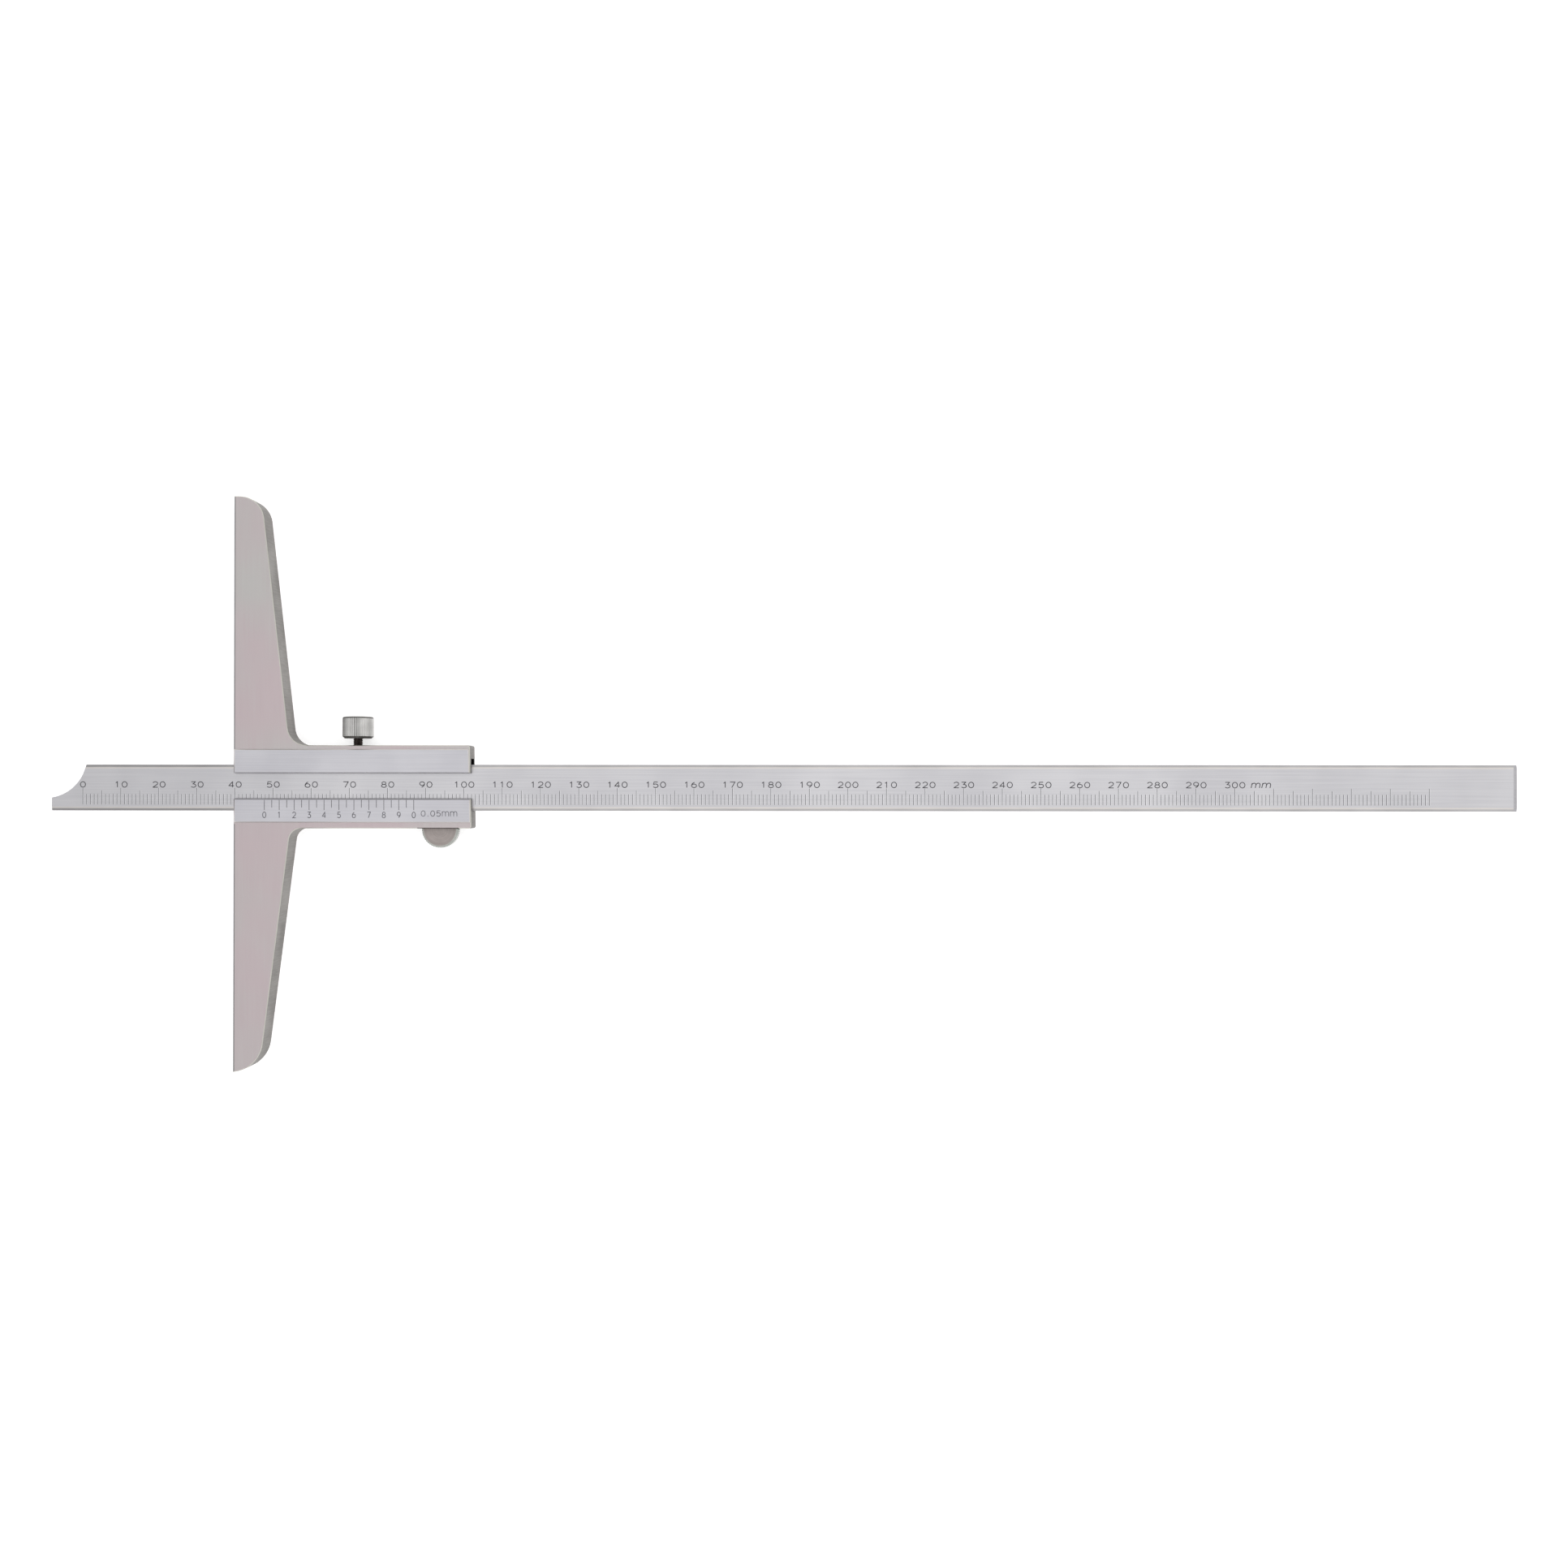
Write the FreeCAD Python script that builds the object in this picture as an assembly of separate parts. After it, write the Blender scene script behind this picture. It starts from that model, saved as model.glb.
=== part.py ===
import FreeCAD, Part
import math
import os

# A 300 mm vernier depth gauge in millimetres, lying on its back.
# x = 0 is the measuring face, and +x runs along the beam away from its tip.
# y = 0 is the beam's centre line, and +y points to the clamp screw.
# z = 0 is the back face, and +z points out of the ruled front.

# The ruled beam
beam_length = 380.6
beam_width = 12.0
beam_thickness = 4.0
depth_shown = 48.3
tip_height = 3.4
hollow_run = 9.0
hollow_depth = 1.97
beam_bevel_width = 1.0
beam_bevel_depth = 0.25

# The bridge and slider, one piece of steel
base_length = 150.0
base_centre = 0.97
back_wall = 2.0
front_wall = 1.5
slide_gap = 0.05
upper_rail = 3.45
lower_rail = 4.55
slider_length = 62.1
slider_end_slant = 0.45
slider_corner = 0.6
heel_bevel = 1.0
edge_break = 0.2

# Each leg: its width where the taper meets the end and the slider, its roundings, and how far
# the end line rises towards its outer corner
upper_end_width = 7.13
upper_root_width = 14.53
upper_end_radius = 6.5
upper_root_fillet = 5.0
upper_end_slant = 0.0
lower_end_width = 6.94
lower_root_width = 14.82
lower_end_radius = 8.4
lower_root_fillet = 3.3
lower_end_slant = 1.0

# The raised pad with the vernier, and the window over the scale
pad_rise = 0.4
pad_top_margin = 1.05
pad_bottom_margin = 1.55
upper_lip = 2.27
vernier_lip = 3.24
upper_lip_bevel = 0.25
vernier_bevel = 0.4
vernier_edge = 0.5

# The gib that takes up the play, and its two set screws
gib_thickness = 1.2
gib_slack = 0.35
gib_start = 1.5
gib_end_margin = 3.15
gib_screw_radius = 1.25
gib_screw_tip_radius = 0.7
gib_screw_tip = 0.25
gib_screw_recess = 0.3
gib_screw_slot_width = 0.5
gib_screw_slot_depth = 0.8
thread_gap = 0.03

# Where the screws stand, as shares of the upper edge between the leg's fillet and the far end
gib_screw_shares = (0.06, 0.77)
clamp_share = 0.288

# The clamp screw: a knurled head on a threaded stud that presses a slug on the gib
clamp_stud_radius = 1.25
clamp_bore_gap = 0.05
clamp_head_radius = 4.0
clamp_head_height = 5.7
clamp_head_stand = 1.85
clamp_head_chamfer = 0.55
clamp_head_crown = 0.5
crown_share = 0.3
clamp_head_cap = 2.1
clamp_tighten_gap = 0.1
clamp_pad_height = 1.3
clamp_pad_floor = 0.5
clamp_tip_radius = 0.7
clamp_tip_gap = 0.05

# The thumb wheel that rolls on the beam's lower edge
roller_inset = 8.7
roller_radius = 4.8
roller_width = 3.0
roller_chamfer = 0.45
roller_beam_gap = 0.1
roller_side_gap = 0.15
roller_rim_gap = 0.3
roller_bore_gap = 0.04
roller_web = 0.6

# Its axle, and the leaf spring on two screws that presses it up
axle_radius = 0.8
axle_collar_radius = 1.5
axle_end_gap = 0.15
collar_gap = 0.2
press_gap = 0.01
spring_thickness = 0.8
spring_recess = 0.1
spring_width = 3.0
spring_eye_radius = 3.0
spring_length = 19.0
spring_gap = 0.25
spring_edge = 0.6
spring_screw_radius = 0.8
spring_screw_head = 1.35
spring_screw_length = 2.5
spring_screw_end_gap = 0.15
spring_screw_shares = (0.16, 0.53)
spring_screw_slot_width = 0.4
spring_screw_slot_depth = 0.25

# The straight knurl of the head and the wheel
knurl_pitch = 0.62
knurl_depth = 0.16

# How far a cutter runs past what it cuts
overrun = 1.0

# Places that follow from the sizes
beam_half = beam_width / 2
slot_bottom = -beam_half - slide_gap
gib_bottom = beam_half + slide_gap
gib_top = gib_bottom + gib_thickness
slot_top = gib_top + gib_slack
slider_top = slot_top + upper_rail
slider_bottom = slot_bottom - lower_rail
upper_end = base_centre + base_length / 2
lower_end = base_centre - base_length / 2
slot_roof = back_wall + beam_thickness + 2 * slide_gap
slot_centre = (back_wall + slot_roof) / 2
leg_thickness = slot_roof + front_wall
pad_front = leg_thickness + pad_rise
beam_back = back_wall + slide_gap
beam_front = beam_back + beam_thickness
window_top = beam_half - upper_lip
window_bottom = vernier_lip - beam_half
slider_top_length = slider_length - slider_end_slant
gib_end = slider_top_length - gib_end_margin
fillet_end = upper_root_width + upper_root_fillet
clear_edge = slider_top_length - fillet_end
gib_screw_places = [fillet_end + share * clear_edge for share in gib_screw_shares]
clamp_place = fillet_end + clamp_share * clear_edge
clamp_bore_radius = clamp_stud_radius + clamp_bore_gap
clamp_pad_bottom = gib_top + clamp_tighten_gap
clamp_pad_top = clamp_pad_bottom + clamp_pad_height
clamp_pad_recess = clamp_pad_bottom + clamp_pad_floor
clamp_head_bottom = slider_top + clamp_head_stand
clamp_head_top = clamp_head_bottom + clamp_head_height
clamp_socket_top = clamp_head_top - clamp_head_cap
roller_place = slider_length - roller_inset
roller_centre = -beam_half - roller_beam_gap - roller_radius
roller_back = back_wall + roller_side_gap
roller_front = roller_back + roller_width
roller_reach = roller_radius + roller_rim_gap
spring_back = spring_recess
spring_front = spring_back + spring_thickness
spring_bottom = slider_bottom + spring_edge
spring_start = roller_place - spring_length
spring_clear = roller_place - roller_reach - spring_start
spring_screw_places = [spring_start + share * spring_clear for share in spring_screw_shares]
spring_screw_line = spring_bottom + spring_width / 2


def vec(x, y, z=0.0):
    return FreeCAD.Vector(x, y, z)


def rounded_outline(corners):
    """Closed flat wire through corners given as (x, y, radius), each rounded as far as its sides allow."""
    count = len(corners)
    edges = []
    start = None
    first = None
    for i in range(count):
        before = vec(*corners[i - 1][:2])
        corner = vec(*corners[i][:2])
        after = vec(*corners[(i + 1) % count][:2])
        room = min((before - corner).Length, (after - corner).Length) - 2 * edge_break
        to_before = (before - corner).normalize()
        to_after = (after - corner).normalize()
        half = to_before.getAngle(to_after) / 2
        run = min(corners[i][2] / math.tan(half), room)
        radius = run * math.tan(half)
        enter = corner + to_before * run
        leave = corner + to_after * run
        if start is None:
            first = enter
        else:
            edges.append(Part.LineSegment(start, enter).toShape())
        if radius > 0:
            centre = corner + (to_before + to_after).normalize() * (radius / math.sin(half))
            middle = centre + (corner - centre).normalize() * radius
            edges.append(Part.Arc(enter, middle, leave).toShape())
        start = leave
    edges.append(Part.LineSegment(start, first).toShape())
    return Part.Wire(edges)


def prism(wire, bottom, top):
    """Solid that stands on a flat wire, from z = bottom to z = top."""
    solid = Part.Face(wire).extrude(vec(0, 0, top - bottom))
    solid.translate(vec(0, 0, bottom))
    return solid


def box(low, high):
    size = high - low
    return Part.makeBox(size.x, size.y, size.z, low)


def along_x(points, start, end):
    """Solid of a constant section given as (y, z) points, from x = start to x = end."""
    section = [vec(start, y, z) for y, z in points]
    return Part.Face(Part.makePolygon(section + section[:1])).extrude(vec(end - start, 0, 0))


def turned(profile):
    """Solid turned about z from (radius, height) points, which start and end on the axis."""
    points = [vec(radius, 0, height) for radius, height in profile]
    face = Part.Face(Part.makePolygon(points + points[:1]))
    return face.revolve(vec(0, 0, 0), vec(0, 0, 1), 360)


def pin(radius, bottom, top):
    return turned([(0, bottom), (radius, bottom), (radius, top), (0, top)])


def upright(shape, x, z):
    """Turns a piece made about z so that it stands along +y, at x and z."""
    shape.Placement = FreeCAD.Placement(vec(x, 0, z), FreeCAD.Rotation(vec(1, 0, 0), -90))
    return shape


def at(shape, x, y):
    shape.translate(vec(x, y))
    return shape


def knurled(radius, bottom, top):
    """Straight-knurled blank about z, with as many teeth as its pitch allows."""
    teeth = round(2 * math.pi * radius / knurl_pitch)
    points = []
    for i in range(2 * teeth):
        reach = radius - knurl_depth * (i % 2)
        angle = math.pi * i / teeth
        points.append(vec(reach * math.cos(angle), reach * math.sin(angle)))
    return prism(Part.makePolygon(points + points[:1]), bottom, top)


def bevel_cutter(y_edge, z_edge, inward_y, inward_z):
    """Wedge that takes a long edge off the beam at (y_edge, z_edge)."""
    section = [
        (y_edge + inward_y * beam_bevel_width, z_edge),
        (y_edge - inward_y * overrun, z_edge),
        (y_edge - inward_y * overrun, z_edge + inward_z * beam_bevel_depth),
        (y_edge, z_edge + inward_z * beam_bevel_depth),
    ]
    return along_x(section, -depth_shown - overrun, beam_length - depth_shown + overrun)


def beam():
    tip = -depth_shown
    rear = beam_length - depth_shown
    low = vec(tip, tip_height - beam_half)
    high = vec(tip + hollow_run, beam_half)
    chord = high - low
    inward = vec(chord.y, -chord.x).normalize()
    middle = (low + high) / 2 + inward * hollow_depth
    edges = [
        Part.Arc(high, middle, low).toShape(),
        Part.LineSegment(low, vec(tip, -beam_half)).toShape(),
        Part.LineSegment(vec(tip, -beam_half), vec(rear, -beam_half)).toShape(),
        Part.LineSegment(vec(rear, -beam_half), vec(rear, beam_half)).toShape(),
        Part.LineSegment(vec(rear, beam_half), high).toShape(),
    ]
    blade = prism(Part.Wire(edges), beam_back, beam_front)
    for y_edge, inward_y in ((beam_half, -1), (-beam_half, 1)):
        blade = blade.cut(bevel_cutter(y_edge, beam_front, inward_y, -1))
        blade = blade.cut(bevel_cutter(y_edge, beam_back, inward_y, 1))
    return blade


def broken_edges(solid, levels):
    """Breaks every outline edge of a prism that lies at one of the given heights."""
    edges = [
        edge
        for edge in solid.Edges
        for level in levels
        if abs(edge.BoundBox.ZMin - level) < edge_break / 10
        and abs(edge.BoundBox.ZMax - level) < edge_break / 10
    ]
    return solid.makeChamfer(edge_break, edges)


def heel_cutter():
    """Wedge that bevels the back of the slider's far end, square across it."""
    start = min(slider_length, slider_top_length) - heel_bevel
    reach = abs(slider_end_slant) + heel_bevel + overrun
    corners = [(start - overrun, -overrun), (start + reach, -overrun), (start + reach, reach)]
    section = [vec(x, slider_bottom - overrun, z) for x, z in corners]
    width = slider_top - slider_bottom + 2 * overrun
    return Part.Face(Part.makePolygon(section + section[:1])).extrude(vec(0, width, 0))


def bridge_blank():
    """The outline of the two tapered legs and the slider, with its edges broken."""
    outline = rounded_outline(
        [
            (0, lower_end, 0),
            (0, upper_end, 0),
            (upper_end_width, upper_end - upper_end_slant, upper_end_radius),
            (upper_root_width, slider_top, upper_root_fillet),
            (slider_top_length, slider_top, slider_corner),
            (slider_length, slider_bottom, slider_corner),
            (lower_root_width, slider_bottom, lower_root_fillet),
            (lower_end_width, lower_end + lower_end_slant, lower_end_radius),
        ]
    )
    blank = broken_edges(prism(outline, 0, leg_thickness), (0, leg_thickness))
    return blank.cut(heel_cutter())


def raised_pad():
    """The pad that carries the vernier, a little inside the slider's outline."""
    top = slider_top - pad_top_margin
    bottom = slider_bottom + pad_bottom_margin
    outline = rounded_outline(
        [
            (edge_break, bottom, 0),
            (edge_break, top, 0),
            (slider_top_length - edge_break, top, 0),
            (slider_length - edge_break, bottom, 0),
        ]
    )
    return broken_edges(prism(outline, back_wall, pad_front), (pad_front,))


def guide_cutter():
    """The slot for the beam and gib, and the bevelled window over the scale."""
    start = -overrun
    end = max(slider_length, slider_top_length) + overrun
    slot = box(vec(start, slot_bottom, back_wall), vec(end, slot_top, slot_roof))
    top = pad_front + overrun
    window = along_x(
        [
            (window_top, slot_roof - overrun),
            (window_top, slot_roof),
            (window_top + upper_lip_bevel, pad_front),
            (window_top + upper_lip_bevel, top),
            (window_bottom - vernier_bevel, top),
            (window_bottom - vernier_bevel, pad_front),
            (window_bottom, slot_roof + vernier_edge),
            (window_bottom, slot_roof - overrun),
        ],
        start,
        end,
    )
    return slot.fuse(window)


def upper_bores():
    """The bores through the upper rail for the gib screws and the clamp screw."""
    bores = [
        upright(pin(gib_screw_radius + thread_gap, slot_top - overrun, slider_top + overrun), x, slot_centre)
        for x in gib_screw_places
    ]
    clamp = pin(clamp_bore_radius, slot_top - overrun, slider_top + overrun)
    return bores + [upright(clamp, clamp_place, slot_centre)]


def roller_cutters():
    """The wheel's slot in the lower rail, and the notch in the back wall round its axle's collar."""
    low = vec(roller_place - roller_reach, slider_bottom - overrun, back_wall)
    high = vec(roller_place + roller_reach, slot_bottom + overrun, roller_front + roller_side_gap)
    notch = pin(axle_collar_radius + collar_gap, -overrun, back_wall + overrun)
    return [box(low, high), at(notch, roller_place, roller_centre)]


def spring_outline(grow):
    """The leaf, grown on every side: a strip with a round-ended tongue that holds the axle."""
    top = spring_bottom + spring_width + grow
    reach = spring_eye_radius + grow
    strip = box(
        vec(spring_start - grow, spring_bottom - grow),
        vec(roller_place, top, spring_thickness),
    )
    tongue = box(vec(roller_place - reach, roller_centre), vec(roller_place + reach, top, spring_thickness))
    eye = at(pin(reach, 0, spring_thickness), roller_place, roller_centre)
    return strip.fuse([tongue, eye]).removeSplitter()


def spring_pocket():
    """The shallow pocket in the back that the leaf lies in, open at the slider's lower edge."""
    pocket = spring_outline(spring_gap)
    pocket.translate(vec(0, 0, spring_front - spring_thickness))
    mouth = pocket.copy()
    mouth.translate(vec(0, 0, -spring_thickness))
    return pocket.fuse(mouth)


def spring_screw_bores():
    bores = []
    for x in spring_screw_places:
        hole = pin(spring_screw_radius + thread_gap, 0, spring_back + spring_screw_length + spring_screw_end_gap)
        bores.append(at(hole, x, spring_screw_line))
    return bores


def base_slider():
    body = bridge_blank().fuse(raised_pad()).cut(guide_cutter())
    cutters = upper_bores() + roller_cutters() + [spring_pocket()] + spring_screw_bores()
    for cutter in cutters:
        body = body.cut(cutter)
    return body.removeSplitter()


def gib_strip():
    low = vec(gib_start, gib_bottom, back_wall + slide_gap)
    strip = box(low, vec(gib_end, gib_top, slot_roof - slide_gap))
    for x in gib_screw_places:
        seat = pin(gib_screw_tip_radius + thread_gap, gib_top - gib_screw_tip - thread_gap, gib_top + overrun)
        strip = strip.cut(upright(seat, x, slot_centre))
    return strip


def gib_screw(place):
    """Slotted set screw, flush in the upper rail, whose tip sits in a dimple of the gib."""
    top = slider_top - gib_screw_recess
    tip = gib_top - gib_screw_tip
    shank = turned(
        [
            (0, tip),
            (gib_screw_tip_radius, tip),
            (gib_screw_tip_radius, gib_top + gib_slack),
            (gib_screw_radius, gib_top + gib_slack + gib_screw_radius - gib_screw_tip_radius),
            (gib_screw_radius, top),
            (0, top),
        ]
    )
    slot = box(
        vec(-gib_screw_radius - overrun, -gib_screw_slot_width / 2, top - gib_screw_slot_depth),
        vec(gib_screw_radius + overrun, gib_screw_slot_width / 2, top + overrun),
    )
    return upright(shank.cut(slot), place, slot_centre)


def clamp_pad():
    """Slug that the clamp screw pushes down on the gib without turning."""
    bore = clamp_tip_radius + clamp_tip_gap
    slug = turned(
        [
            (0, clamp_pad_bottom),
            (clamp_stud_radius, clamp_pad_bottom),
            (clamp_stud_radius, clamp_pad_top),
            (bore, clamp_pad_top),
            (bore, clamp_pad_recess),
            (0, clamp_pad_recess),
        ]
    )
    return upright(slug, clamp_place, slot_centre)


def clamp_stud():
    shoulder = clamp_pad_top + clamp_tip_gap
    tip = clamp_pad_recess + clamp_tip_gap
    stud = turned(
        [
            (0, tip),
            (clamp_tip_radius, tip),
            (clamp_tip_radius, shoulder),
            (clamp_stud_radius, shoulder),
            (clamp_stud_radius, clamp_socket_top),
            (0, clamp_socket_top),
        ]
    )
    return upright(stud, clamp_place, slot_centre)


def clamp_head():
    """Knurled head, chamfered below and crowned above, pressed on the stud."""
    bottom = clamp_head_bottom
    top = clamp_head_top
    crown = clamp_head_crown
    shoulder = crown * crown_share
    lens = turned(
        [
            (0, bottom),
            (clamp_head_radius - clamp_head_chamfer, bottom),
            (clamp_head_radius, bottom + clamp_head_chamfer),
            (clamp_head_radius, top - crown),
            (clamp_head_radius - shoulder, top - shoulder),
            (clamp_head_radius - crown, top),
            (0, top),
        ]
    )
    head = knurled(clamp_head_radius, bottom - overrun, top + overrun).common(lens)
    socket = pin(clamp_stud_radius + press_gap, bottom - overrun, clamp_socket_top)
    return upright(head.cut(socket), clamp_place, slot_centre)


def thumb_roller():
    """Knurled wheel with a blind bore from the back, so that its front face is plain."""
    lens = turned(
        [
            (0, roller_back),
            (roller_radius - roller_chamfer, roller_back),
            (roller_radius, roller_back + roller_chamfer),
            (roller_radius, roller_front - roller_chamfer),
            (roller_radius - roller_chamfer, roller_front),
            (0, roller_front),
        ]
    )
    wheel = knurled(roller_radius, roller_back - overrun, roller_front + overrun).common(lens)
    bore = pin(axle_radius + roller_bore_gap, roller_back - overrun, roller_front - roller_web)
    return at(wheel.cut(bore), roller_place, roller_centre)


def roller_axle():
    """Shouldered pin, pressed in the leaf's eye."""
    shoulder = roller_back - roller_side_gap / 2
    top = roller_front - roller_web - axle_end_gap
    axle = turned(
        [
            (0, spring_back),
            (axle_radius, spring_back),
            (axle_radius, spring_front),
            (axle_collar_radius, spring_front),
            (axle_collar_radius, shoulder),
            (axle_radius, shoulder),
            (axle_radius, top),
            (0, top),
        ]
    )
    return at(axle, roller_place, roller_centre)


def roller_spring():
    leaf = spring_outline(0)
    leaf.translate(vec(0, 0, spring_back))
    eye = pin(axle_radius + press_gap, spring_back - overrun, spring_front + overrun)
    leaf = leaf.cut(at(eye, roller_place, roller_centre))
    for x in spring_screw_places:
        leaf = leaf.cut(at(countersink(thread_gap), x, spring_screw_line))
    return leaf


def countersink(grow):
    """The flat-headed screw's head and shank through the leaf, grown to cut its seat."""
    taper = spring_screw_head - spring_screw_radius
    return turned(
        [
            (0, spring_back),
            (spring_screw_head + grow, spring_back),
            (spring_screw_radius + grow, spring_back + taper),
            (spring_screw_radius + grow, spring_front),
            (0, spring_front),
        ]
    )


def spring_screw(place):
    """Slotted countersunk screw through the leaf into the back wall."""
    shank = pin(spring_screw_radius, spring_front, spring_back + spring_screw_length)
    screw = countersink(0).fuse(shank).removeSplitter()
    slot = box(
        vec(-spring_screw_head - overrun, -spring_screw_slot_width / 2, spring_back - overrun),
        vec(spring_screw_head + overrun, spring_screw_slot_width / 2, spring_back + spring_screw_slot_depth),
    )
    return at(screw.cut(slot), place, spring_screw_line)


def nodes():
    return {
        "beam": beam(),
        "base_slider": base_slider(),
        "gib_strip": gib_strip(),
        "gib_screw_front": gib_screw(gib_screw_places[0]),
        "gib_screw_rear": gib_screw(gib_screw_places[1]),
        "clamp_pad": clamp_pad(),
        "clamp_stud": clamp_stud(),
        "clamp_head": clamp_head(),
        "thumb_roller": thumb_roller(),
        "roller_axle": roller_axle(),
        "roller_spring": roller_spring(),
        "spring_screw_inner": spring_screw(spring_screw_places[0]),
        "spring_screw_outer": spring_screw(spring_screw_places[1]),
    }


os.makedirs("parts", exist_ok=True)
for name, shape in nodes().items():
    solids = shape.Solids
    if len(solids) != 1 or not solids[0].isValid():
        print("fault:", name, "has", len(solids), "solids, valid:", shape.isValid())
    solids[0].exportStep(f"parts/{name}.step")
    bounds = solids[0].BoundBox
    print(
        f"{name:20s} {solids[0].Volume:10.2f} mm3  x {bounds.XMin:8.2f} {bounds.XMax:8.2f}"
        f"  y {bounds.YMin:7.2f} {bounds.YMax:7.2f}  z {bounds.ZMin:6.2f} {bounds.ZMax:6.2f}"
    )
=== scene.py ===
"""Looks of a vernier depth gauge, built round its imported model.

Every place is in metres in the frame of the model: +X runs along the beam away from its measuring
tip, +Y along the bridge towards the clamp screw, and +Z out of the ruled front.
"""

import logging
import math
from collections.abc import Iterator, Mapping, Sequence
from dataclasses import dataclass
from enum import Enum

import bpy
from mathutils import Matrix, Vector


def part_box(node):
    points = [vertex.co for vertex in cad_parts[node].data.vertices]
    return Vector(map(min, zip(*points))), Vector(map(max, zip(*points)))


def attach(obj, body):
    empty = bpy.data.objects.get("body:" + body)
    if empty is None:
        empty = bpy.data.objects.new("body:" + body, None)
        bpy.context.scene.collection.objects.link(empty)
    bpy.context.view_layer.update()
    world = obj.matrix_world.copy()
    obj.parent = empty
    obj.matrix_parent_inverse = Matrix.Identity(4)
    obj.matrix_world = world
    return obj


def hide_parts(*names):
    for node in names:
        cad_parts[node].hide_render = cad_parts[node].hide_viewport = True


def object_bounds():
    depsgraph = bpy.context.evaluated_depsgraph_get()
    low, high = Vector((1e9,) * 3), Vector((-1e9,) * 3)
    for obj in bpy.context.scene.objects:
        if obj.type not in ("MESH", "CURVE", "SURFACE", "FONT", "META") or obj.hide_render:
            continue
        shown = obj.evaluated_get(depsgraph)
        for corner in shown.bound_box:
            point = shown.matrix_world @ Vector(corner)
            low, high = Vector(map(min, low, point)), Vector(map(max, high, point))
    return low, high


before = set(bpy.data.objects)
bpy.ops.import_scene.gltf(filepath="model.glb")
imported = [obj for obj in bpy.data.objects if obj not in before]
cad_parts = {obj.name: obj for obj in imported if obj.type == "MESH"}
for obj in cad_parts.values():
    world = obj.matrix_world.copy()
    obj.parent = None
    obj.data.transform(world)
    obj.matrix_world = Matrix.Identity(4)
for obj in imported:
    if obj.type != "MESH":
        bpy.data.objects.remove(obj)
CAD_BOX = [list(corner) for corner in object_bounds()]

MM = 0.001
# A zone's border is blended over this length, or over this much of a unit normal.
PLACE_BLEND = 0.05 * MM
TILT_BLEND = 0.1
SCRATCH_DETAIL = 3.0
CLOUD_DETAIL = 2.0
# Most of a noise lies between these values, and it is stretched to its two tones from there.
NOISE_SPAN = (0.3, 0.7)
LOG = logging.getLogger("depth_gauge")

Point = tuple[float, float]


class Axis(Enum):
    """A direction of the model, by its place in a vector."""

    X = 0
    Y = 1
    Z = 2


class Side(Enum):
    """Which way a value has to pass its limit for a zone to hold."""

    ABOVE = 1
    BELOW = -1


class Source(Enum):
    """What a limit looks at: where a point of the surface is, or which way it faces."""

    PLACE = "Object"
    TILT = "Normal"


def linear(hex_colour: str) -> tuple[float, float, float, float]:
    """Turns an sRGB colour into the linear values that a shader wants.

    Args:
        hex_colour: Six hex digits, such as "C6C5CA".

    Returns:
        Red, green, blue and an alpha of 1.
    """
    full, knee, slope, offset, power = 255, 0.04045, 12.92, 0.055, 2.4
    shares = [int(hex_colour[i : i + 2], 16) / full for i in (0, 2, 4)]
    red, green, blue = (
        share / slope if share <= knee else ((share + offset) / (1 + offset)) ** power
        for share in shares
    )
    return red, green, blue, 1.0


def add_node(
    tree: bpy.types.NodeTree,
    kind: str,
    settings: Mapping[str | int, object] | None = None,
    links: Mapping[str | int, bpy.types.NodeSocket] | None = None,
) -> bpy.types.Node:
    """Adds one node to a tree.

    Args:
        tree: The node tree that gets the node.
        kind: Blender's name of the node, without its leading "ShaderNode".
        settings: Values by name. The name of a property of the node sets that property, and any
            other name or number sets the input socket that it names.
        links: The sockets that feed the node, by the name or number of the input.

    Returns:
        The new node.
    """
    node = tree.nodes.new("ShaderNode" + kind)
    for key, value in (settings or {}).items():
        if isinstance(key, str) and hasattr(node, key):
            setattr(node, key, value)
        else:
            node.inputs[key].default_value = value
    for key, socket in (links or {}).items():
        tree.links.new(socket, node.inputs[key])
    return node


@dataclass(frozen=True)
class Spindle:
    """The axis of a turned piece: its direction and the place that it runs through."""

    along: Axis
    place: tuple[float, float, float]

    def radius(
        self, tree: bpy.types.NodeTree, point: bpy.types.NodeSocket
    ) -> bpy.types.NodeSocket:
        """Measures from the axis.

        Args:
            tree: The material's node tree.
            point: A place on the surface.

        Returns:
            A socket with the distance of the point from the axis.
        """
        across = [0.0 if axis is self.along else 1.0 for axis in Axis]
        start = add_node(
            tree, "VectorMath", {"operation": "SUBTRACT", 1: self.place}, {0: point}
        ).outputs[0]
        flat = add_node(
            tree, "VectorMath", {"operation": "MULTIPLY", 1: across}, {0: start}
        ).outputs[0]
        return add_node(tree, "VectorMath", {"operation": "LENGTH"}, {0: flat}).outputs[1]


def spindle_of(node: str, along: Axis) -> Spindle:
    """Gives the axis of a turned node from its box."""
    low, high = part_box(node)
    return Spindle(along, tuple((low + high) / 2))


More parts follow.
